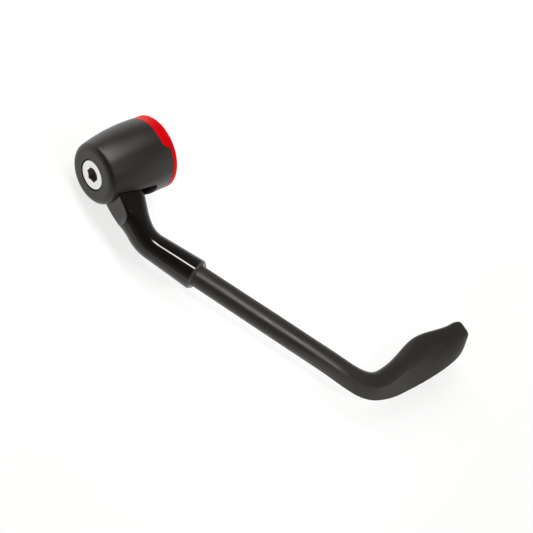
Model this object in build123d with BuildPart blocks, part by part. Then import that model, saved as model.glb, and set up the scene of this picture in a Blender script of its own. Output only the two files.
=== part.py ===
"""Brake lever guard for the brake side of a handlebar.

X runs along the handlebar from the outer end towards the middle of the bike, -Y is forward
and Z is up. The origin is on the handlebar's axis, where the end of the bar seats.
Sizes are in millimetres and degrees. A heading is measured in the guard's plane, from +X
towards forward.
"""
from build123d import *
from math import cos, pi, radians, sin, tan
import os

os.makedirs("parts", exist_ok=True)

# Handlebar end, and the bolt that holds the guard to it
bar_diameter = 22.2
bar_clearance = 0.1
bar_depth = 10.0
bolt_diameter = 8.0
bolt_shank_diameter = 7.2
bolt_length = 35.0
bolt_hole_clearance = 0.25
bolt_head_diameter = 13.0
bolt_head_height = 5.0
bolt_head_sink = 0.1
bolt_head_chamfer = 0.35
bolt_head_clearance = 0.5
bolt_key_size = 6.0
bolt_key_depth = 3.2
bolt_point_chamfer = 0.9

# Barrel-shaped cover: its radii follow from the handlebar and these walls
overall_length = 33.5
hub_wall = 2.0
eye_shoulder = 2.0
wide_end_wall = 2.85
belly_rise = 0.25
belly_share = 0.76
small_end_drop = 3.0
small_end_fillet = 3.0
end_wall = 3.6
hub_fit_clearance = 0.03
slot_clearance = 0.7
slot_spare_length = 5.9
slot_corner_radius = 3.0

# Red trim ring at the cover's wide end
rim_proud = 0.1
rim_width = 2.2
rim_edge_chamfer = 0.4
band_width = 5.3
band_half_angle = 51.7
band_step_run = 3.0
band_step_overlap = 0.25
band_centre_angle = 50.0
band_clearance = 0.03
ring_spigot_wall = 1.1
ring_spigot_length = 2.3

# Elbow: eye, neck, bend and socket
eye_clearance = 0.15
eye_thickness = 14.35
neck_width = 18.0
neck_height = 12.0
neck_corner_radius = 4.5
neck_root_reach = 12.0
neck_steps = 5
facet_reach = 20.8
facet_run_out_radius = 5.0
bend_corner_reach = 34.5
bend_radius = 14.0
bend_diameter = 12.0
socket_taper = 2.6
arm_heading = 54.6
mouth_reach = 27.3
mouth_slant_up = 24.0
mouth_slant_out = 16.0
mouth_chamfer = 1.1
socket_clearance = 0.1
socket_depth = 19.5

# Guard arm
arm_root_diameter = 9.7
arm_mid_diameter = 10.2
rail_start_share = 0.48
arm_length = 93.1
tip_bend_radius = 16.0
tip_heading = -4.2
spigot_end_gap = 0.3
tip_end_fillet = 0.5

# Sections of the arm from the start of its rail to its tip: distance along the arm's line from the
# corner where the tip turns off, reach to the front and back, height above and below, place of the
# crease and of the lower front edge as angles round the section, how flat the flank between them
# is, and the share of the dish behind the crease
arm_sections = (
    (-33.5, 5.15, 5.10, 5.10, 5.10, 56.0, 34.0, 0.35, 0.00),
    (-20.5, 5.30, 5.10, 5.10, 5.10, 56.0, 34.0, 0.65, 0.15),
    (-9.5, 5.80, 5.15, 5.10, 5.10, 60.0, 32.0, 0.85, 0.40),
    (-0.5, 7.00, 5.50, 5.00, 5.00, 68.0, 26.0, 0.90, 0.70),
    (7.5, 8.30, 5.70, 4.70, 4.70, 76.0, 18.0, 0.90, 0.90),
    (14.5, 9.00, 6.10, 4.45, 4.45, 81.0, 13.0, 0.88, 1.00),
    (23.5, 9.50, 8.00, 4.05, 4.05, 85.0, 9.0, 0.82, 1.00),
    (32.5, 9.65, 9.60, 3.60, 3.60, 88.0, 6.0, 0.70, 1.00),
    (43.5, 9.20, 8.20, 3.15, 3.15, 88.0, 4.0, 0.43, 0.87),
    (53.5, 7.00, 6.30, 2.50, 2.50, 88.0, 4.0, 0.20, 0.55),
    (60.5, 2.75, 4.85, 1.65, 1.65, 88.0, 4.0, 0.10, 0.20),
)
rear_roll = 0.12
dish_middle = 0.08
dish_at_crease = 0.25

# Grub screws on the underside of the socket
grub_diameter = 4.0
grub_length = 4.0
grub_key_size = 2.0
grub_key_depth = 1.8
grub_sink = 0.3
grub_from_mouth = 9.0
grub_spacing = 7.0
grub_clearance = 0.05

# Places along the handlebar's axis
wide_end_x = bar_depth
outer_x = wide_end_x - overall_length
cover_end_x = wide_end_x - rim_width
band_start_x = wide_end_x - band_width
spigot_start_x = cover_end_x - ring_spigot_length
eye_outer_x = outer_x + end_wall + eye_clearance
eye_inner_x = eye_outer_x + eye_thickness
slot_outer_x = eye_outer_x - eye_clearance
slot_inner_x = eye_inner_x + slot_spare_length
head_top_x = outer_x + bolt_head_sink
head_seat_x = head_top_x + bolt_head_height
belly_x = outer_x + belly_share * overall_length

# Radii that follow from the sizes above
bar_bore_radius = bar_diameter / 2 + bar_clearance
hub_bore_radius = bar_bore_radius + hub_wall
eye_bore_radius = hub_bore_radius - eye_shoulder
wide_end_radius = hub_bore_radius + wide_end_wall
belly_radius = wide_end_radius + belly_rise
small_end_radius = wide_end_radius - small_end_drop
rim_radius = wide_end_radius + rim_proud
band_half_chord = wide_end_radius * sin(radians(band_half_angle))
bolt_radius = bolt_diameter / 2
bolt_hole_radius = bolt_radius + bolt_hole_clearance
head_hole_radius = bolt_head_diameter / 2 + bolt_head_clearance
eye_radius = eye_bore_radius - eye_clearance
hub_radius = hub_bore_radius - hub_fit_clearance
ring_spigot_radius = hub_bore_radius + ring_spigot_wall
bend_tube_radius = bend_diameter / 2
slot_half_width = neck_height / 2 + slot_clearance

# Centreline of the elbow and the arm
neck_x = eye_inner_x - neck_width / 2
bend_turn = 90 - arm_heading
bend_tangent = bend_radius * tan(radians(bend_turn / 2))
neck_end_reach = bend_corner_reach - bend_tangent
bend_centre = (neck_x + bend_radius, -neck_end_reach, 0)
tip_turn = arm_heading - tip_heading
tip_tangent = tip_bend_radius * tan(radians(tip_turn / 2))
tip_arc_length = tip_bend_radius * radians(tip_turn)
tip_arc_start = arm_length - tip_tangent
rail_start = rail_start_share * arm_length


def along(start, heading, distance):
    """Point that lies a distance from start along a heading."""
    return start + Vector(cos(radians(heading)), -sin(radians(heading)), 0) * distance


def across(point, heading):
    """Plane across a heading: its local x points back, away from the guard's front, and y up."""
    ahead = Vector(cos(radians(heading)), -sin(radians(heading)), 0)
    back = Vector(sin(radians(heading)), cos(radians(heading)), 0)
    return Plane(origin=point, x_dir=back, z_dir=ahead)


def neck_plane(reach):
    """Plane across the neck, a distance forward of the handlebar's axis."""
    return Plane(origin=(neck_x, -reach, 0), x_dir=(1, 0, 0), z_dir=(0, -1, 0))


def arm_place(distance):
    """Point and heading on the arm's line, a distance from the socket's mouth."""
    if distance <= tip_arc_start:
        return along(mouth, arm_heading, distance), arm_heading
    arc_start = along(mouth, arm_heading, tip_arc_start)
    turned = min(distance - tip_arc_start, tip_arc_length) / tip_bend_radius
    chord = 2 * tip_bend_radius * sin(turned / 2)
    heading = arm_heading - turned * 180 / pi
    point = along(arc_start, (arm_heading + heading) / 2, chord)
    beyond = max(0, distance - tip_arc_start - tip_arc_length)
    return along(point, heading, beyond), heading


def section_point(angle, front, back, top, under):
    """Point on a section of four quarter ellipses, at an angle from the front that is positive upwards."""
    reach = front if cos(radians(angle)) > 0 else back
    height = top if sin(radians(angle)) > 0 else under
    return Vector(-reach * cos(radians(angle)), height * sin(radians(angle)))


bend_corner = Vector(neck_x, -bend_corner_reach, 0)
mouth = along(bend_corner, arm_heading, mouth_reach)
mouth_normal = (
    across(mouth, arm_heading).z_dir
    + Vector(0, 0, tan(radians(mouth_slant_up)))
    - across(mouth, arm_heading).x_dir * tan(radians(mouth_slant_out))
)
mouth_plane = Plane(origin=mouth, z_dir=mouth_normal)
barrel_points = ((outer_x, small_end_radius), (belly_x, belly_radius), (cover_end_x, wide_end_radius))
band_outward = (0, sin(radians(band_centre_angle)), cos(radians(band_centre_angle)))
band_plane = Plane(origin=(0, 0, 0), x_dir=(1, 0, 0), z_dir=band_outward)
grub_places = [along(mouth, arm_heading, -grub_from_mouth - grub_spacing * i) for i in range(2)]
grub_outer_z = grub_sink - bend_tube_radius
grub_tip_z = grub_outer_z + grub_length


def band_outline(clearance):
    """Outline of the sector where the red band widens, with an S-shaped step at each end, seen from above."""
    inner = band_half_chord - clearance
    outer = inner + band_step_run
    start_x = band_start_x + clearance
    step_end_x = cover_end_x + band_step_overlap + clearance
    spare_x = wide_end_x + rim_width
    Line((start_x, -inner), (start_x, inner))
    Spline((start_x, inner), (step_end_x, outer), tangents=((0, 1), (0, 1)))
    Polyline((step_end_x, outer), (spare_x, outer), (spare_x, -outer), (step_end_x, -outer))
    Spline((step_end_x, -outer), (start_x, -inner), tangents=((0, 1), (0, 1)))


# Barrel cover: a turned cup with a hole for the bolt's head in its small end
with BuildPart() as cover:
    with BuildSketch(Plane.XY):
        with BuildLine():
            ThreePointArc(*barrel_points)
            Polyline(
                (cover_end_x, wide_end_radius),
                (cover_end_x, ring_spigot_radius),
                (spigot_start_x, ring_spigot_radius),
                (spigot_start_x, hub_bore_radius),
                (eye_inner_x, hub_bore_radius),
                (eye_inner_x, eye_bore_radius),
                (outer_x + end_wall, eye_bore_radius),
                (outer_x + end_wall, head_hole_radius),
                (outer_x, head_hole_radius),
                (outer_x, small_end_radius),
            )
        make_face()
    revolve(axis=Axis.X)
    rim_edges = cover.edges().filter_by(GeomType.CIRCLE).group_by(Axis.X)[0]
    fillet(rim_edges.sort_by(SortBy.RADIUS)[-1], radius=small_end_fillet)

    # Slot for the neck: square where the neck fills it, with rounded corners at its free end
    with BuildSketch(Plane(origin=(0, 0, 0), x_dir=(1, 0, 0), z_dir=(0, -1, 0))) as slot:
        with BuildLine():
            Polyline(
                (slot_inner_x, slot_half_width),
                (slot_outer_x, slot_half_width),
                (slot_outer_x, -slot_half_width),
                (slot_inner_x, -slot_half_width),
                close=True,
            )
        make_face()
        fillet(slot.vertices().group_by(Axis.X)[-1], radius=slot_corner_radius)
    extrude(amount=2 * belly_radius, mode=Mode.SUBTRACT)

    # Cut-back for the wide stretch of the red band
    with BuildSketch(band_plane):
        with BuildLine():
            band_outline(0)
        make_face()
    extrude(amount=2 * belly_radius, mode=Mode.SUBTRACT)
cover.part.label = "bar_end_cover"
export_step(cover.part, "parts/bar_end_cover.step")

# Trim ring: wide band over a sector, then the rim and the spigot inside the cover
with BuildPart() as ring:
    with BuildSketch(Plane.XY):
        with BuildLine():
            ThreePointArc(*barrel_points)
            Polyline(
                (cover_end_x, wide_end_radius),
                (cover_end_x, 0),
                (outer_x, 0),
                (outer_x, small_end_radius),
            )
        make_face()
    revolve(axis=Axis.X)
    with BuildSketch(band_plane):
        with BuildLine():
            band_outline(band_clearance)
        make_face()
    extrude(amount=2 * belly_radius, mode=Mode.INTERSECT)
    with BuildSketch(Plane.YZ.offset(band_start_x)):
        Circle(hub_bore_radius)
    extrude(amount=band_width, mode=Mode.SUBTRACT)
    with BuildSketch(Plane.XY):
        with BuildLine():
            Polyline(
                (spigot_start_x + band_clearance, hub_bore_radius),
                (spigot_start_x + band_clearance, ring_spigot_radius - band_clearance),
                (cover_end_x, ring_spigot_radius - band_clearance),
                (cover_end_x, rim_radius),
                (wide_end_x, rim_radius),
                (wide_end_x, bar_bore_radius),
                (cover_end_x, bar_bore_radius),
                (cover_end_x, hub_bore_radius),
                close=True,
            )
        make_face()
    revolve(axis=Axis.X)
    end_edges = ring.edges().filter_by(GeomType.CIRCLE).group_by(Axis.X)[-1]
    chamfer(end_edges, length=rim_edge_chamfer)
ring.part.label = "trim_ring"
export_step(ring.part, "parts/trim_ring.step")

# Hub between the elbow's eye and the end of the handlebar
with BuildPart() as hub:
    with BuildSketch(Plane.XY):
        with BuildLine():
            Polyline(
                (eye_inner_x, bolt_hole_radius),
                (eye_inner_x, hub_radius),
                (cover_end_x, hub_radius),
                (cover_end_x, bar_bore_radius),
                (0, bar_bore_radius),
                (0, bolt_hole_radius),
                close=True,
            )
        make_face()
    revolve(axis=Axis.X)
hub.part.label = "bar_hub"
export_step(hub.part, "parts/bar_hub.step")

# Elbow: eye on the bolt, neck that turns from square to round, bend and socket
with BuildPart() as elbow:
    with BuildSketch(Plane.YZ.offset(eye_outer_x)):
        Circle(eye_radius)
    extrude(amount=eye_thickness)
    with BuildSketch(neck_plane(0)):
        RectangleRounded(neck_width, neck_height, neck_corner_radius)
    extrude(amount=neck_root_reach)
    for step in range(neck_steps):
        share = (1 + cos(pi * step / neck_steps)) / 2
        width = bend_diameter + (neck_width - bend_diameter) * share
        height = bend_diameter + (neck_height - bend_diameter) * share
        corner_radius = bend_tube_radius + (neck_corner_radius - bend_tube_radius) * share
        with BuildSketch(neck_plane(neck_root_reach + (neck_end_reach - neck_root_reach) * step / neck_steps)):
            RectangleRounded(width, height, corner_radius)
    with BuildSketch(neck_plane(neck_end_reach)):
        Circle(bend_tube_radius)
    loft()
    with BuildSketch(neck_plane(neck_end_reach)):
        Circle(bend_tube_radius)
    revolve(axis=Axis(bend_centre, (0, 0, 1)), revolution_arc=bend_turn)
    with BuildSketch(across(along(bend_corner, arm_heading, bend_tangent), arm_heading)):
        Circle(bend_tube_radius)
    extrude(amount=mouth_reach, taper=-socket_taper)

    # Flat milled along the neck's outer side, level with the eye, and the cutter's round run-out
    with BuildSketch(Plane.XY):
        with BuildLine():
            run_out_x = eye_outer_x - facet_run_out_radius
            past_neck_x = run_out_x - neck_width
            CenterArc((run_out_x, -facet_reach), facet_run_out_radius, 0, -90)
            Polyline(
                (run_out_x, -facet_reach - facet_run_out_radius),
                (past_neck_x, -facet_reach - facet_run_out_radius),
                (past_neck_x, eye_radius),
                (eye_outer_x, eye_radius),
                (eye_outer_x, -facet_reach),
            )
        make_face()
    extrude(amount=neck_height, both=True, mode=Mode.SUBTRACT)

    # Mouth cut on a slant, with a chamfered lip
    split(bisect_by=mouth_plane, keep=Keep.BOTTOM)
    mouth_face = elbow.faces().sort_by(Axis(mouth, mouth_normal))[-1]
    chamfer(mouth_face.edges(), length=mouth_chamfer)

    # Bolt hole, seat of the bolt's head, bore for the arm's spigot and threads for the grub screws
    with BuildSketch(Plane.YZ.offset(eye_outer_x)):
        Circle(bolt_hole_radius)
    extrude(amount=eye_thickness, mode=Mode.SUBTRACT)
    with BuildSketch(Plane.YZ.offset(eye_outer_x)):
        Circle(head_hole_radius)
    extrude(amount=head_seat_x - eye_outer_x, mode=Mode.SUBTRACT)
    with BuildSketch(across(along(mouth, arm_heading, -socket_depth), arm_heading)):
        Circle(arm_root_diameter / 2 + socket_clearance)
    extrude(amount=socket_depth + neck_height, mode=Mode.SUBTRACT)
    for place in grub_places:
        with BuildSketch(Plane(origin=(place.X, place.Y, -neck_height))):
            Circle(grub_diameter / 2 + grub_clearance)
        extrude(amount=neck_height, mode=Mode.SUBTRACT)
elbow.part.label = "elbow"
export_step(elbow.part, "parts/elbow.step")

# Guard arm: spigot and tapered round stretch, then the rail and flank that widen into the tip
spigot_length = socket_depth - spigot_end_gap
round_places = [(-spigot_length, 0), (-spigot_length / 2, 0)]
round_places += [(rail_start * step / 3, step / 3) for step in range(4)]
round_sections = []
for distance, share in round_places:
    radius = (arm_root_diameter * (1 - share) + arm_mid_diameter * share) / 2
    reaches = (radius, radius, radius, radius)
    round_sections.append((distance - arm_length, *reaches, *arm_sections[0][5:7], 0.0, 0.0))

with BuildPart() as arm:
    for row in (*round_sections, *arm_sections):
        from_corner, front, back, top, under, crease_angle, edge_angle, flatness, dish = row
        with BuildSketch(across(*arm_place(arm_length + from_corner))):
            with BuildLine():
                reaches = (front, back, top, under)
                crease = section_point(crease_angle, *reaches)
                edge = section_point(-edge_angle, *reaches)
                round_mid = section_point((crease_angle - edge_angle) / 2, *reaches)
                flank_mid = round_mid * (1 - flatness) + (crease + edge) * (flatness / 2)
                Spline(crease, flank_mid, edge)
                below_angles = [-edge_angle - (180 - edge_angle) * step / 4 for step in (1, 2, 3, 4)]
                below = [section_point(angle, *reaches) for angle in below_angles]
                above = []
                for step, lift in ((1, rear_roll), (2, -dish_middle), (3, -dish_at_crease)):
                    point = section_point(180 - (180 - crease_angle) * step / 4, *reaches)
                    above.append(Vector(point.X, point.Y * (1 + lift * dish)))
                Spline(edge, *below, *above, crease)
            make_face()
    loft()
    tip_plane = across(*arm_place(arm_length + arm_sections[-1][0]))
    end_face = arm.faces().sort_by(Axis(tip_plane.origin, tip_plane.z_dir))[-1]
    fillet(end_face.edges(), radius=tip_end_fillet)
    for place in grub_places:
        with BuildSketch(Plane(origin=(place.X, place.Y, -neck_height))):
            Circle(grub_diameter / 2 + grub_clearance)
        extrude(amount=neck_height + grub_tip_z + grub_clearance, mode=Mode.SUBTRACT)
arm.part.label = "guard_arm"
export_step(arm.part, "parts/guard_arm.step")

# Bolt: low head with a hexagon socket, reduced shank up to the bar's seat and thread from there on
with BuildPart() as bolt:
    with BuildSketch(Plane.YZ.offset(head_top_x)):
        Circle(bolt_head_diameter / 2)
    extrude(amount=bolt_head_height)
    head_edge = bolt.edges().filter_by(GeomType.CIRCLE).sort_by(Axis.X)[0]
    chamfer(head_edge, length=bolt_head_chamfer)
    with BuildSketch(Plane.YZ.offset(head_top_x)):
        RegularPolygon(radius=bolt_key_size / 2, side_count=6, major_radius=False, rotation=30)
    extrude(amount=bolt_key_depth, mode=Mode.SUBTRACT)
    with BuildSketch(Plane.YZ.offset(head_seat_x)):
        Circle(bolt_shank_diameter / 2)
    extrude(amount=-head_seat_x)
    with BuildSketch(Plane.YZ):
        Circle(bolt_radius)
    extrude(amount=head_seat_x + bolt_length)
    point_edge = bolt.edges().filter_by(GeomType.CIRCLE).sort_by(Axis.X)[-1]
    chamfer(point_edge, length=bolt_point_chamfer)
bolt.part.label = "main_bolt"
export_step(bolt.part, "parts/main_bolt.step")

# Pair of grub screws that lock the spigot in the socket
with BuildPart() as grubs:
    for place in grub_places:
        with BuildSketch(Plane(origin=(place.X, place.Y, grub_outer_z))):
            Circle(grub_diameter / 2)
        extrude(amount=grub_length)
        with BuildSketch(Plane(origin=(place.X, place.Y, grub_outer_z))):
            RegularPolygon(radius=grub_key_size / 2, side_count=6, major_radius=False)
        extrude(amount=grub_key_depth, mode=Mode.SUBTRACT)
grubs.part.label = "grub_screws"
export_step(grubs.part, "parts/grub_screws.step")
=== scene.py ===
"""Finishes, fine detail and studio for the brake lever guard.

Everything is in metres, in the frame of the solids: X along the handlebar towards the middle of
the bike, -Y forward, Z up, with the origin where the end of the handlebar seats.
"""

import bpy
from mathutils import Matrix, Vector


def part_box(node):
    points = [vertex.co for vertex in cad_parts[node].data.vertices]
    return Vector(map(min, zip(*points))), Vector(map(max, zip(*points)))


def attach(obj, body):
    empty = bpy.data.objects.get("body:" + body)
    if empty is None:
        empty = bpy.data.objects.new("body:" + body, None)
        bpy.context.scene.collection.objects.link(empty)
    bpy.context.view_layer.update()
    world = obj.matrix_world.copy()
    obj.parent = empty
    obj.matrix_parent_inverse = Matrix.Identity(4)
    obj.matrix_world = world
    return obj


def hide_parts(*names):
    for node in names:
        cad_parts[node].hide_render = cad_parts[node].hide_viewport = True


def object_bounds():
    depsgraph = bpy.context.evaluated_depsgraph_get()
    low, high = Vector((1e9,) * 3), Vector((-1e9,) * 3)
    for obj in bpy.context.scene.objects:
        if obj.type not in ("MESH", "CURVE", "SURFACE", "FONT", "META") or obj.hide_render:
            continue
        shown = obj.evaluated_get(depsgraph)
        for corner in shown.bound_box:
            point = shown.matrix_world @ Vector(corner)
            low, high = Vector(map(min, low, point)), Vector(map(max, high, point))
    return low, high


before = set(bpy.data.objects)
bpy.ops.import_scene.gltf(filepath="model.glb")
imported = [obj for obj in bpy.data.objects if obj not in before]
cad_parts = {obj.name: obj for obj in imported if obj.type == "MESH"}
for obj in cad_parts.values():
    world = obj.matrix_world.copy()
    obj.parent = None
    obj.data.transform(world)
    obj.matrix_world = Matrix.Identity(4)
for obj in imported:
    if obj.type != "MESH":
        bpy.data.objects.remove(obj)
cad_box = [list(corner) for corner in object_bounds()]

from math import ceil, cos, pi, radians, tan
from typing import NamedTuple

import bmesh
import bpy
from bpy.props import FloatProperty, FloatVectorProperty, PointerProperty
from bpy.types import Operator, Panel, PropertyGroup
from mathutils import Euler, Matrix, Vector

bl_info = {
    "name": "Brake Lever Guard",
    "version": (1, 0, 0),
    "blender": (4, 5, 0),
    "location": "3D View > Sidebar > Guard",
    "description": "Dresses the solids of a brake lever guard and sets up its studio",
    "category": "Object",
}

MM = 0.001
BODY = "root"
BAR_AXIS = Vector((1, 0, 0))


# Values that a user may change

def linear(hex_colour):
    """Linear red, green and blue of an sRGB hex colour."""
    channels = [int(hex_colour[i:i + 2], 16) / 255 for i in (1, 3, 5)]
    return [c / 12.92 if c <= 0.04045 else ((c + 0.055) / 1.055) ** 2.4 for c in channels]


def colour(name, description, hex_colour):
    """Property for a colour that is written as sRGB hex."""
    return FloatVectorProperty(
        name=name, description=description, subtype="COLOR", size=3, min=0, max=1,
        default=linear(hex_colour))


def length(name, description, millimetres):
    """Property for a length that is written in millimetres."""
    return FloatProperty(
        name=name, description=description, unit="LENGTH", default=millimetres * MM)


def power(name, description, watts):
    """Property for the power of a lamp."""
    return FloatProperty(name=name, description=description, unit="POWER", default=watts)


def strength(name, description, value):
    """Property for the strength of light from the room, where 1 is white."""
    return FloatProperty(name=name, description=description, default=value)


class GuardFinishes(PropertyGroup):
    """Colours of the guard's materials."""
    barrel: colour("Barrel", "Satin black anodised aluminium", "#1d1a17")
    ring: colour("Ring", "Red anodised aluminium", "#f0040f")
    elbow: colour("Elbow", "Gloss black anodised aluminium", "#0d0b09")
    arm: colour("Arm", "Satin black glass-filled nylon", "#1c1815")
    sheen: colour("Sheen", "Warm cast of the light that the black finishes throw back", "#fff8f2")
    bolt: colour("Bolt", "Polished stainless steel", "#e4e3e0")
    # The key socket's darker colour is partly dull forged steel and partly painted shade of the
    # recess
    socket_steel_and_shade: colour("Key socket", "Forged, oily steel inside the bolt's key socket", "#a29e9a")
    hub: colour("Hub", "Black anodised aluminium in the shade of the barrel", "#161514")
    grub: colour("Grub screws", "Black oxide on steel", "#1d1c1b")


class GuardGrain(PropertyGroup):
    """Sizes of the fine patterns on the surfaces."""
    # Real blast pits, tool marks and mould grain are about 0.1 mm wide, too fine to show, so these
    # three are drawn three to five times as coarse
    blast: length("Blast grain", "Pits that bead blasting leaves on the barrel", 0.35)
    turning: length("Turning pitch", "Feed of the tool marks on the bolt's head and the ring", 0.3)
    mould: length("Mould grain", "Fine spark-eroded grain of the arm's mould", 0.45)
    polish: length("Polish waves", "Width of the waves that polishing leaves on the elbow", 9.0)
    patch: length("Patches", "Width of the faint patches where hands and light have worked", 14.0)


class GuardBolt(PropertyGroup):
    """Sizes of the main bolt that the solids leave plain."""
    head_height: length("Head height", "Height of the low head", 5.0)
    head_round: length("Head edge", "Rounding of the head's outer edge", 0.35)
    chamfer: length("Chamfer", "Chamfer under the head and where it meets the shank", 0.2)
    key_size: length("Key size", "Width across the flats of the key socket", 6.0)
    key_depth: length("Key depth", "Depth of the key socket to the start of its cone", 3.4)
    key_mouth: length("Key mouth", "Diameter of the countersink round the key socket", 7.4)
    shank: length("Shank", "Diameter of the reduced shank", 7.2)
    pitch: length("Thread pitch", "Distance from one turn of the thread to the next", 1.25)
    thread: length("Thread", "Outer diameter of the thread", 8.0)
    point: length("Point", "Length of the chamfer at the bolt's point", 0.9)


class GuardStudio(PropertyGroup):
    """Camera, lamps, room and floor."""
    lens: FloatProperty(
        name="Lens", description="Focal length of the camera", unit="CAMERA", default=153.35)
    strip_power: power("Strip lamp", "Gridded soft box close above the elbow", 0.0033)
    arm_power: power("Arm lamp", "Gridded soft box over the arm", 0.02)
    back_power: power("Back lamp", "Long, narrow soft box behind the guard", 9.0)
    fill_power: power("Fill lamp", "Broad, dim soft box behind the guard", 1.6)
    walls: strength("Walls", "Light from all round, low down", 0.45)
    ceiling: strength("Ceiling", "Light from overhead", 0.1)
    window: strength("Window", "Light from the front right", 0.75)
    floor: colour("Floor", "White paper", "#fcfcfb")


# Materials

# Most of a noise texture's values lie between these
NOISE_LOW, NOISE_HIGH = 0.3, 0.7

# Distance from one crest to the next of a wave texture whose scale is 1
WAVE_LENGTH = 2 * pi / 20


def add_node(tree, kind, inputs=(), **settings):
    """Adds a node, sets its attributes, and sets or links its inputs."""
    node = tree.nodes.new(kind)
    for name, value in settings.items():
        setattr(node, name, value)
    for socket, value in dict(inputs).items():
        if isinstance(value, bpy.types.NodeSocket):
            tree.links.new(value, node.inputs[socket])
        else:
            node.inputs[socket].default_value = value
    return node


def new_material(name):
    """An empty material and its node tree."""
    material = bpy.data.materials.new(name)
    material.use_nodes = True
    material.node_tree.nodes.clear()
    return material, material.node_tree


def drift(tree, where, low, high):
    """A value that drifts between low and high from patch to patch of the surface."""
    patch = bpy.context.scene.guard_grain.patch
    noise = add_node(tree, "ShaderNodeTexNoise", {
        "Vector": where, "Scale": 1 / patch, "Detail": 3.0})
    return add_node(tree, "ShaderNodeMapRange", {
        "Value": noise.outputs["Fac"], "From Min": NOISE_LOW, "From Max": NOISE_HIGH,
        "To Min": low, "To Max": high}).outputs["Result"]


def satin_anodised():
    """Bead-blasted aluminium, anodised satin black: dark grey, soft highlights and a fine tooth."""
    finishes, grain = bpy.context.scene.guard_finishes, bpy.context.scene.guard_grain
    material, tree = new_material("satin black anodised aluminium")
    where = add_node(tree, "ShaderNodeTexCoord").outputs["Object"]
    shade = add_node(tree, "ShaderNodeVectorMath", {
        0: tuple(finishes.barrel), "Scale": drift(tree, where, 0.9, 1.1)}, operation="SCALE")
    pits = add_node(tree, "ShaderNodeTexNoise", {
        "Vector": where, "Scale": 1 / grain.blast, "Detail": 2.0})
    relief = add_node(tree, "ShaderNodeBump", {
        "Height": pits.outputs["Fac"], "Strength": 0.12, "Distance": 0.02 * MM})
    shader = add_node(tree, "ShaderNodeBsdfPrincipled", {
        "Base Color": shade.outputs["Vector"],
        "Roughness": drift(tree, where, 0.34, 0.37),
        "Specular Tint": (*finishes.sheen, 1),
        "Normal": relief.outputs["Normal"]})
    add_node(tree, "ShaderNodeOutputMaterial", {"Surface": shader.outputs["BSDF"]})
    return material


def red_anodised():
    """Turned aluminium, anodised red: a clear, deep red, a soft red sheen and faint tool marks."""
    finishes, grain = bpy.context.scene.guard_finishes, bpy.context.scene.guard_grain
    material, tree = new_material("red anodised aluminium")
    where = add_node(tree, "ShaderNodeTexCoord").outputs["Object"]
    shade = add_node(tree, "ShaderNodeVectorMath", {
        0: tuple(finishes.ring), "Scale": drift(tree, where, 0.95, 1.05)}, operation="SCALE")
    marks = add_node(tree, "ShaderNodeTexWave", {
        "Vector": where, "Scale": WAVE_LENGTH / grain.turning, "Distortion": 0.6},
        wave_type="BANDS", bands_direction="X")
    relief = add_node(tree, "ShaderNodeBump", {
        "Height": marks.outputs["Fac"], "Strength": 0.06, "Distance": 0.01 * MM})
    shader = add_node(tree, "ShaderNodeBsdfPrincipled", {
        "Base Color": shade.outputs["Vector"],
        "Metallic": 0.35,
        "Roughness": 0.35,
        "Specular Tint": (*finishes.ring, 1),
        "Normal": relief.outputs["Normal"]})
    add_node(tree, "ShaderNodeOutputMaterial", {"Surface": shader.outputs["BSDF"]})
    return material


def gloss_anodised():
    """Polished aluminium, anodised gloss black: a black mirror with barely wavy highlights."""
    finishes, grain = bpy.context.scene.guard_finishes, bpy.context.scene.guard_grain
    material, tree = new_material("gloss black anodised aluminium")
    where = add_node(tree, "ShaderNodeTexCoord").outputs["Object"]
    waves = add_node(tree, "ShaderNodeTexNoise", {
        "Vector": where, "Scale": 1 / grain.polish, "Detail": 1.0})
    relief = add_node(tree, "ShaderNodeBump", {
        "Height": waves.outputs["Fac"], "Strength": 0.02, "Distance": 0.1 * MM})
    shader = add_node(tree, "ShaderNodeBsdfPrincipled", {
        "Base Color": (*finishes.elbow, 1),
        "Roughness": drift(tree, where, 0.05, 0.09),
        "Specular Tint": (*finishes.sheen, 1),
        "Normal": relief.outputs["Normal"]})
    add_node(tree, "ShaderNodeOutputMaterial", {"Surface": shader.outputs["BSDF"]})
    return material


def satin_nylon():
    """Moulded glass-filled nylon, satin black: a soft highlight and a spark-eroded grain."""
    finishes, grain = bpy.context.scene.guard_finishes, bpy.context.scene.guard_grain
    material, tree = new_material("satin black glass-filled nylon")
    where = add_node(tree, "ShaderNodeTexCoord").outputs["Object"]
    shade = add_node(tree, "ShaderNodeVectorMath", {
        0: tuple(finishes.arm), "Scale": drift(tree, where, 0.9, 1.1)}, operation="SCALE")
    pores = add_node(tree, "ShaderNodeTexNoise", {
        "Vector": where, "Scale": 1 / grain.mould, "Detail": 3.0})
    relief = add_node(tree, "ShaderNodeBump", {
        "Height": pores.outputs["Fac"], "Strength": 0.15, "Distance": 0.02 * MM})
    shader = add_node(tree, "ShaderNodeBsdfPrincipled", {
        "Base Color": shade.outputs["Vector"],
        "Roughness": drift(tree, where, 0.38, 0.46),
        "Specular Tint": (*finishes.sheen, 1),
        "Normal": relief.outputs["Normal"]})
    add_node(tree, "ShaderNodeOutputMaterial", {"Surface": shader.outputs["BSDF"]})
    return material


# Depths below the bolt's face between which its key socket turns dull and darker with painted shade
DULL_SHADE_FROM, DULL_SHADE_TO = 0.3 * MM, 0.6 * MM


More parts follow.
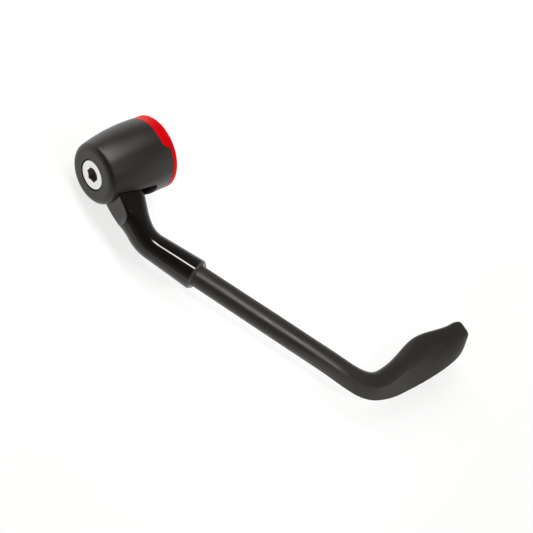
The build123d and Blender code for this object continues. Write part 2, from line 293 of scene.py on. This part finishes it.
def polished_stainless(head_top, head_seat, key_reach):
    """Polished stainless steel: bright, with fine turned rings and a dull key socket, darker partly
    from forged steel and partly from painted shade.
    """
    finishes, grain = bpy.context.scene.guard_finishes, bpy.context.scene.guard_grain
    material, tree = new_material("polished stainless steel")
    where = add_node(tree, "ShaderNodeTexCoord").outputs["Object"]

    # 1 in the key socket and 0 elsewhere, with a short change below the head's face; it masks the
    # socket's dull finish and its painted shade
    along = add_node(tree, "ShaderNodeSeparateXYZ", {0: where}).outputs["X"]
    outward = add_node(tree, "ShaderNodeVectorMath", {
        0: where, 1: (0, 1, 1)}, operation="MULTIPLY").outputs["Vector"]
    radius = add_node(tree, "ShaderNodeVectorMath", {
        0: outward}, operation="LENGTH").outputs["Value"]
    near_axis = add_node(tree, "ShaderNodeMath", {
        0: radius, 1: key_reach}, operation="LESS_THAN").outputs[0]
    in_head = add_node(tree, "ShaderNodeMath", {
        0: along, 1: head_seat}, operation="LESS_THAN").outputs[0]
    shade_below_face = add_node(tree, "ShaderNodeMapRange", {
        "Value": along, "From Min": head_top + DULL_SHADE_FROM, "From Max": head_top + DULL_SHADE_TO,
    }).outputs["Result"]
    socket = add_node(tree, "ShaderNodeMath", {
        0: near_axis, 1: in_head}, operation="MULTIPLY").outputs[0]
    socket = add_node(tree, "ShaderNodeMath", {
        0: socket, 1: shade_below_face}, operation="MULTIPLY").outputs[0]

    # Inputs 6 and 7 of a mix of colours are its two colours, and output 2 is the mixed one
    # The socket mixes in a darker grey: partly forged steel, partly painted shade of the recess
    shade = add_node(tree, "ShaderNodeMix", {
        0: socket, 6: (*finishes.bolt, 1), 7: (*finishes.socket_steel_and_shade, 1)}, data_type="RGBA")
    dullness = add_node(tree, "ShaderNodeMapRange", {
        "Value": socket, "To Min": drift(tree, where, 0.12, 0.2), "To Max": 0.55})
    rings = add_node(tree, "ShaderNodeTexWave", {
        "Vector": where, "Scale": WAVE_LENGTH / grain.turning, "Distortion": 0.3},
        wave_type="RINGS", rings_direction="X")
    relief = add_node(tree, "ShaderNodeBump", {
        "Height": rings.outputs["Fac"], "Strength": 0.08, "Distance": 0.01 * MM})
    shader = add_node(tree, "ShaderNodeBsdfPrincipled", {
        "Base Color": shade.outputs[2],
        "Metallic": 1.0,
        "Roughness": dullness.outputs["Result"],
        "Normal": relief.outputs["Normal"]})
    add_node(tree, "ShaderNodeOutputMaterial", {"Surface": shader.outputs["BSDF"]})
    return material


def black_metal(name, base):
    """Blackened metal, as turned: dull dark grey, slightly patchy."""
    material, tree = new_material(name)
    where = add_node(tree, "ShaderNodeTexCoord").outputs["Object"]
    shade = add_node(tree, "ShaderNodeVectorMath", {
        0: tuple(base), "Scale": drift(tree, where, 0.85, 1.15)}, operation="SCALE")
    shader = add_node(tree, "ShaderNodeBsdfPrincipled", {
        "Base Color": shade.outputs["Vector"],
        "Metallic": 0.4,
        "Roughness": drift(tree, where, 0.4, 0.52)})
    add_node(tree, "ShaderNodeOutputMaterial", {"Surface": shader.outputs["BSDF"]})
    return material


# Share of light that the paper gives back, and the strength of its own glow where it is seen
FLOOR_DIFFUSE = 0.35
FLOOR_GLOW = 0.78


def white_paper():
    """White paper: it glows near white to the camera and in reflections, and keeps the shadow."""
    white = bpy.context.scene.guard_studio.floor
    material, tree = new_material("white paper")
    path = add_node(tree, "ShaderNodeLightPath").outputs
    seen = add_node(tree, "ShaderNodeMath", {
        0: path["Is Camera Ray"], 1: path["Is Glossy Ray"]}, operation="MAXIMUM").outputs[0]
    seen = add_node(tree, "ShaderNodeMath", {
        0: seen, 1: path["Is Transmission Ray"]}, operation="MAXIMUM").outputs[0]
    glow = add_node(tree, "ShaderNodeMath", {
        0: seen, 1: FLOOR_GLOW}, operation="MULTIPLY").outputs[0]
    matt = add_node(tree, "ShaderNodeBsdfDiffuse", {
        "Color": (*(c * FLOOR_DIFFUSE for c in white), 1)})
    light = add_node(tree, "ShaderNodeEmission", {"Color": (*white, 1), "Strength": glow})
    both = add_node(tree, "ShaderNodeAddShader", {0: matt.outputs[0], 1: light.outputs[0]})
    add_node(tree, "ShaderNodeOutputMaterial", {"Surface": both.outputs[0]})
    return material


# Pieces

# Points nearer than this are one
MERGE = 0.0005 * MM

# Edges sharper than this stay sharp
SHARP = radians(32)

# Steps in a turn of the plain bolt, in a turn of its thread, and across the head's rounded edge
TURNED_STEPS = 96
THREAD_STEPS = 48
ROUND_STEPS = 4

# Key socket: its sides, the slope of its countersink and drill point, and how far past its corners
# the dull finish and its painted shade reach
KEY_SIDES = 6
KEY_CONE = radians(30)
KEY_MARGIN = 0.05 * MM

# Metric thread, in pitches: its depth, the flat at its root, each flank, and the turns to spare
THREAD_DEPTH = 0.613
ROOT_FLAT = 1 / 4
FLANK = 5 / 16
SPARE_TURNS = 2

# How far the shank runs into the thread, and how far below the shank the thread starts
SHANK_OVERLAP = 0.4 * MM
LEAD_IN = 0.1 * MM


def dress(node, material):
    """Gives a solid its material; its shape stays as it is."""
    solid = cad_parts[node]
    solid.data.materials.clear()
    solid.data.materials.append(material)


def new_piece(name, bm, material):
    """Object from a bmesh: doubles merged, faces outwards, smooth except at sharp edges."""
    bmesh.ops.remove_doubles(bm, verts=bm.verts, dist=MERGE)
    bmesh.ops.recalc_face_normals(bm, faces=bm.faces)
    mesh = bpy.data.meshes.new(name)
    bm.to_mesh(mesh)
    bm.free()
    mesh.shade_smooth()
    mesh.set_sharp_from_angle(angle=SHARP)
    mesh.materials.append(material)
    piece = bpy.data.objects.new(name, mesh)
    bpy.context.scene.collection.objects.link(piece)
    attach(piece, BODY)
    return piece


def turn(bm, profile, steps, turns=1, advance=0.0):
    """Spins a profile of places along and off the bar's axis, and advances it with each turn."""
    points = [bm.verts.new((along, 0, out)) for along, out in profile]
    edges = [bm.edges.new(pair) for pair in zip(points, points[1:])]
    bmesh.ops.spin(
        bm, geom=points + edges, cent=(0, 0, 0), axis=BAR_AXIS, dvec=BAR_AXIS * advance / steps,
        angle=2 * pi * turns, steps=steps * turns, use_merge=advance == 0)
    bmesh.ops.remove_doubles(bm, verts=bm.verts, dist=MERGE)


def wind_thread(bm, sizes, end):
    """Thread that is wound past both ends and cut square, then given its lead-in and point."""
    pitch = sizes.pitch
    crest = sizes.thread / 2
    root = crest - THREAD_DEPTH * pitch
    tooth = (
        (0, root), (ROOT_FLAT, root), (ROOT_FLAT + FLANK, crest), (1 - FLANK, crest), (1, root))
    profile = [((share - SPARE_TURNS) * pitch, out) for share, out in tooth]
    turn(bm, profile, THREAD_STEPS, ceil(end / pitch) + 2 * SPARE_TURNS, pitch)
    for place, way in ((0.0, -1), (end, 1)):
        bmesh.ops.bisect_plane(
            bm, geom=bm.verts[:] + bm.edges[:] + bm.faces[:],
            plane_co=(place, 0, 0), plane_no=(way, 0, 0), clear_outer=True)
        cut = [e for e in bm.edges
               if e.is_boundary and all(abs(v.co.x - place) < MERGE for v in e.verts)]
        bmesh.ops.holes_fill(bm, edges=cut)
    for vert in bm.verts:
        reach = vert.co.yz.length
        lead_in = sizes.shank / 2 - LEAD_IN + vert.co.x
        allowed = min(lead_in, crest - sizes.point + end - vert.co.x)
        if reach > allowed:
            bmesh.ops.scale(bm, verts=[vert], vec=(1, allowed / reach, allowed / reach))


def turn_head(bm, sizes, top, head_radius):
    """Head with a rounded edge, and the shank; the head's face is open inside the key mouth."""
    seat = top + sizes.head_height
    shank_radius = sizes.shank / 2
    turn(bm, [
        (top, sizes.key_mouth / 2),
        (top, head_radius),
        (seat - sizes.chamfer, head_radius),
        (seat, head_radius - sizes.chamfer),
        (seat, shank_radius + sizes.chamfer),
        (seat + sizes.chamfer, shank_radius),
        (SHANK_OVERLAP, shank_radius),
        (SHANK_OVERLAP, 0),
    ], TURNED_STEPS)
    corner = [e for e in bm.edges if all(
        v.co.x < top + MERGE and v.co.yz.length > head_radius - MERGE for v in e.verts)]
    bmesh.ops.bevel(
        bm, geom=corner, offset=sizes.head_round, offset_type="OFFSET", affect="EDGES",
        segments=ROUND_STEPS, profile=0.5, material=-1)


def sink_key_socket(bm, sizes, top, key_reach):
    """Key socket: a hexagon in a shallow countersink, drawn in and closed by a drill point."""
    mouth_edges = [e for e in bm.edges if e.is_boundary]
    stand = Matrix.Rotation(pi / 2, 4, "Y") @ Matrix.Rotation(pi / KEY_SIDES, 4, "Z")
    key = bmesh.ops.create_circle(
        bm, segments=KEY_SIDES, radius=key_reach, matrix=Matrix.Translation((top, 0, 0)) @ stand)
    key_edges = list({e for v in key["verts"] for e in v.link_edges})
    bmesh.ops.subdivide_edges(bm, edges=key_edges, cuts=TURNED_STEPS // KEY_SIDES - 1)
    key_edges = [e for e in bm.edges if e.is_wire]
    for vert in {v for e in key_edges for v in e.verts}:
        sink = (sizes.key_mouth / 2 - vert.co.yz.length) * tan(KEY_CONE)
        bmesh.ops.translate(bm, verts=[vert], vec=(sink, 0, 0))
    bmesh.ops.bridge_loops(bm, edges=mouth_edges + key_edges)
    for inward, shrink in ((sizes.key_depth, 1.0), (key_reach * tan(KEY_CONE), 0.0)):
        made = bmesh.ops.extrude_edge_only(bm, edges=key_edges)["geom"]
        verts = [g for g in made if isinstance(g, bmesh.types.BMVert)]
        key_edges = [g for g in made if isinstance(g, bmesh.types.BMEdge) and g.is_boundary]
        bmesh.ops.scale(bm, verts=verts, vec=(1, shrink, shrink))
        bmesh.ops.translate(bm, verts=verts, vec=(inward, 0, 0))


class GUARD_OT_bar_end_cover(Operator):
    """Finish the barrel-shaped cover"""
    bl_idname = "guard.bar_end_cover"
    bl_label = "Bar End Cover"

    def execute(self, context):
        dress("bar_end_cover", satin_anodised())
        return {"FINISHED"}


class GUARD_OT_trim_ring(Operator):
    """Finish the red trim ring"""
    bl_idname = "guard.trim_ring"
    bl_label = "Trim Ring"

    def execute(self, context):
        dress("trim_ring", red_anodised())
        return {"FINISHED"}


class GUARD_OT_elbow(Operator):
    """Finish the elbow"""
    bl_idname = "guard.elbow"
    bl_label = "Elbow"

    def execute(self, context):
        dress("elbow", gloss_anodised())
        return {"FINISHED"}


class GUARD_OT_guard_arm(Operator):
    """Finish the arm and its winglet"""
    bl_idname = "guard.guard_arm"
    bl_label = "Guard Arm"

    def execute(self, context):
        dress("guard_arm", satin_nylon())
        return {"FINISHED"}


class GUARD_OT_main_bolt(Operator):
    """Make the main bolt with its key socket and thread"""
    bl_idname = "guard.main_bolt"
    bl_label = "Main Bolt"

    def execute(self, context):
        sizes = context.scene.guard_bolt
        low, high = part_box("main_bolt")
        top = low.x
        key_reach = sizes.key_size / 2 / cos(pi / KEY_SIDES)
        bm = bmesh.new()
        wind_thread(bm, sizes, high.x)
        turn_head(bm, sizes, top, high.y)
        sink_key_socket(bm, sizes, top, key_reach)
        finish = polished_stainless(top, top + sizes.head_height, key_reach + KEY_MARGIN)
        piece = new_piece("threaded_bolt", bm, finish)
        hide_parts("main_bolt")
        return {"FINISHED"}


class GUARD_OT_hidden_metal(Operator):
    """Finish the hub and the grub screws"""
    bl_idname = "guard.hidden_metal"
    bl_label = "Hub and Grub Screws"

    def execute(self, context):
        finishes = context.scene.guard_finishes
        dress("bar_hub", black_metal("black anodised aluminium", finishes.hub))
        dress("grub_screws", black_metal("black oxide steel", finishes.grub))
        return {"FINISHED"}


# Stage

# Camera of the photograph's view
CAMERA_PLACE = Vector((-532.7, -134.46, 794.95)) * MM
CAMERA_TURN = Euler((radians(21.192), radians(-29.498), radians(-31.238)))
SENSOR_WIDTH = 36.0

FLOOR_HALF_SIZE = 4.0
FLOOR_DROP = 0.2 * MM

# Sine of the height at which the walls have faded into the ceiling
WALL_HEIGHT = 0.7

# Direction of the window, and how fast its light falls off around that
WINDOW_DIRECTION = Vector((0.69, -0.62, 0.37)).normalized()
WINDOW_FALL_OFF = 4.0


class Lamp(NamedTuple):
    """Where a soft box stands, its two sides, and the angle that its grid lets light out in."""
    target: Vector
    direction: Vector
    distance: float
    sides: tuple
    grid: float


NO_GRID = pi
ELBOW_MIDDLE = Vector((-3.0, -48.0, 0.0)) * MM
ARM_MIDDLE = Vector((26.0, -92.0, 0.0)) * MM

# The strip draws the bright line on the elbow and the arm lamp the soft one along the arm. Both
# have grids, so that they don't wash out the barrel. The long back lamp gives the barrel's
# shoulder its light, and the fill softens the shadow.
STRIP = Lamp(ELBOW_MIDDLE, Vector((0.13, -0.132, 0.983)), 0.35, (0.11, 0.065), radians(12))
ARM = Lamp(ARM_MIDDLE, Vector((-0.064, -0.342, 0.936)), 0.5, (0.06, 0.06), radians(22))
BACK = Lamp(ELBOW_MIDDLE, Vector((0.03, 0.6, 0.8)), 1.2, (0.16, 1.3), NO_GRID)
FILL = Lamp(ELBOW_MIDDLE, Vector((0.35, 0.5, 0.79)), 1.3, (0.7, 0.7), NO_GRID)


def add_lamp(name, lamp, watts):
    """Hangs a soft box that shines on its target, with its first side square to Y."""
    data = bpy.data.lights.new(name, "AREA")
    data.shape = "RECTANGLE"
    data.size, data.size_y = lamp.sides
    data.spread = lamp.grid
    data.energy = watts
    box = bpy.data.objects.new(name, data)
    bpy.context.scene.collection.objects.link(box)
    back = lamp.direction.normalized()
    across = Vector((0, 1, 0)).cross(back).normalized()
    turned = Matrix((across, back.cross(across), back)).transposed().to_4x4()
    box.matrix_world = Matrix.Translation(lamp.target + back * lamp.distance) @ turned


def lay_floor(scene):
    """A sheet of white paper just below the guard."""
    bm = bmesh.new()
    bmesh.ops.create_grid(bm, x_segments=1, y_segments=1, size=FLOOR_HALF_SIZE)
    bmesh.ops.translate(bm, verts=bm.verts, vec=(0, 0, cad_box[0][2] - FLOOR_DROP))
    mesh = bpy.data.meshes.new("floor")
    bm.to_mesh(mesh)
    bm.free()
    mesh.materials.append(white_paper())
    floor = bpy.data.objects.new("floor", mesh)
    scene.collection.objects.link(floor)


def light_room(scene):
    """Pale walls all round that darken towards the ceiling, and a soft window, front right."""
    studio = scene.guard_studio
    world = bpy.data.worlds.new("studio")
    world.use_nodes = True
    tree = world.node_tree
    tree.nodes.clear()
    direction = add_node(tree, "ShaderNodeTexCoord").outputs["Generated"]
    height = add_node(tree, "ShaderNodeSeparateXYZ", {0: direction}).outputs["Z"]
    walls = add_node(tree, "ShaderNodeMapRange", {
        "Value": height, "From Max": WALL_HEIGHT,
        "To Min": studio.walls, "To Max": studio.ceiling}).outputs["Result"]
    facing = add_node(tree, "ShaderNodeVectorMath", {
        0: direction, 1: WINDOW_DIRECTION}, operation="DOT_PRODUCT").outputs["Value"]
    facing = add_node(tree, "ShaderNodeMath", {
        0: facing, 1: 0.0}, operation="MAXIMUM").outputs[0]
    window = add_node(tree, "ShaderNodeMath", {
        0: facing, 1: WINDOW_FALL_OFF}, operation="POWER").outputs[0]
    both = add_node(tree, "ShaderNodeMath", {
        0: window, 1: studio.window, 2: walls}, operation="MULTIPLY_ADD").outputs[0]
    room = add_node(tree, "ShaderNodeBackground", {"Color": (1, 1, 1, 1), "Strength": both})
    add_node(tree, "ShaderNodeOutputWorld", {"Surface": room.outputs[0]})
    scene.world = world


def set_camera(scene):
    """Camera at the photograph's angle."""
    data = bpy.data.cameras.new("camera")
    data.lens = scene.guard_studio.lens
    data.sensor_width = SENSOR_WIDTH
    camera = bpy.data.objects.new("camera", data)
    camera.location = CAMERA_PLACE
    camera.rotation_euler = CAMERA_TURN
    scene.collection.objects.link(camera)
    scene.camera = camera


class GUARD_OT_stage(Operator):
    """Set up the floor, the room, the lamps and the camera"""
    bl_idname = "guard.stage"
    bl_label = "Stage"

    def execute(self, context):
        scene = context.scene
        studio = scene.guard_studio
        scene.view_settings.view_transform = "Standard"
        lay_floor(scene)
        light_room(scene)
        add_lamp("strip", STRIP, studio.strip_power)
        add_lamp("arm", ARM, studio.arm_power)
        add_lamp("back", BACK, studio.back_power)
        add_lamp("fill", FILL, studio.fill_power)
        set_camera(scene)
        return {"FINISHED"}


# Add-on

OPERATORS = (
    GUARD_OT_bar_end_cover,
    GUARD_OT_trim_ring,
    GUARD_OT_elbow,
    GUARD_OT_guard_arm,
    GUARD_OT_main_bolt,
    GUARD_OT_hidden_metal,
    GUARD_OT_stage,
)
GROUPS = {
    "guard_finishes": GuardFinishes,
    "guard_grain": GuardGrain,
    "guard_bolt": GuardBolt,
    "guard_studio": GuardStudio,
}


class GUARD_PT_pieces(Panel):
    """Buttons and values for the guard"""
    bl_label = "Brake Lever Guard"
    bl_idname = "GUARD_PT_pieces"
    bl_space_type = "VIEW_3D"
    bl_region_type = "UI"
    bl_category = "Guard"

    def draw(self, context):
        for operator in OPERATORS:
            self.layout.operator(operator.bl_idname)
        for name, group in GROUPS.items():
            box = self.layout.box()
            for value in group.__annotations__:
                box.prop(getattr(context.scene, name), value)


CLASSES = (*GROUPS.values(), *OPERATORS, GUARD_PT_pieces)


def register():
    for cls in CLASSES:
        bpy.utils.register_class(cls)
    for name, group in GROUPS.items():
        setattr(bpy.types.Scene, name, PointerProperty(type=group))


def unregister():
    for name in GROUPS:
        delattr(bpy.types.Scene, name)
    for cls in reversed(CLASSES):
        bpy.utils.unregister_class(cls)


def main():
    register()
    bpy.ops.guard.bar_end_cover()
    bpy.ops.guard.trim_ring()
    bpy.ops.guard.elbow()
    bpy.ops.guard.guard_arm()
    bpy.ops.guard.main_bolt()
    bpy.ops.guard.hidden_metal()
    bpy.ops.guard.stage()


if __name__ == "__main__":
    main()
